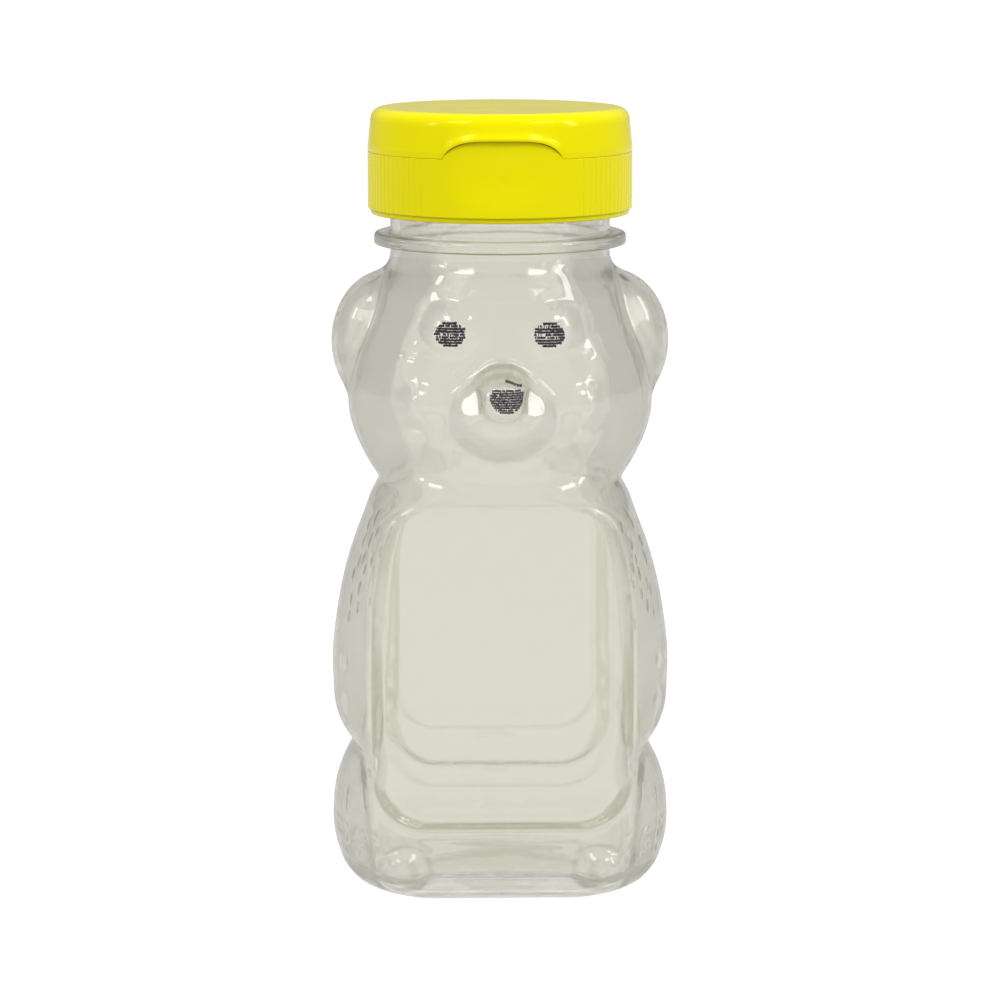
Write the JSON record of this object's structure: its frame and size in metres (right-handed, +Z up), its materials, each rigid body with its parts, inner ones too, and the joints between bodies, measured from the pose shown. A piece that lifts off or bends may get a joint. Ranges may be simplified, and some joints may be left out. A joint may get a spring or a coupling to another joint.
{
  "type": "honey bear bottle",
  "caption": "Clear blow-moulded bear-shaped squeeze bottle for honey, with flat label panels and a yellow screw closure that has a snap-top flip lid.",
  "frame": {"origin": "middle of the base, on the neck's axis, at the height the bottle stands on", "axes": "+Z up along the neck's axis, -Y out of the bear's face and front label panel, +X to the right seen from the front"},
  "size_m": [0.0526, 0.0476, 0.1208],
  "materials": {
    "clear_plastic": "gloss",
    "black_ink": "matte",
    "liner_foam": "matte",
    "yellow_plastic": "gloss"
  },
  "bodies": {
    "bottle": {"bottle": "clear_plastic", "left_eye_print": "black_ink", "right_eye_print": "black_ink", "nose_print": "black_ink"},
    "seal": {"seal_liner": "liner_foam"},
    "closure": {"closure_base": "yellow_plastic", "hinge_web": "yellow_plastic", "left_hinge_strap": "yellow_plastic", "right_hinge_strap": "yellow_plastic"},
    "lid": {"flip_lid": "yellow_plastic"}
  },
  "joints": [
    {"name": "closure_rise", "type": "slide", "parent": "bottle", "child": "seal", "axis": [0, 0, 1], "range_m": [0, 0.00294]},
    {"name": "closure_turn", "type": "hinge", "parent": "seal", "child": "closure", "pos_m": [0, 0, 0.1124], "axis": [0, 0, 1], "range_deg": [0, 250]},
    {"name": "lid_hinge", "type": "hinge", "parent": "closure", "child": "lid", "pos_m": [0, 0.02048, 0.1141], "axis": [-1, 0, 0], "range_deg": [0, 170], "deforming": ["hinge_web", "left_hinge_strap", "right_hinge_strap"]}
  ],
  "couplings": [
    {"joint": "closure_rise", "follows": "closure_turn", "m_per_rad": 0.0006737}
  ]
}
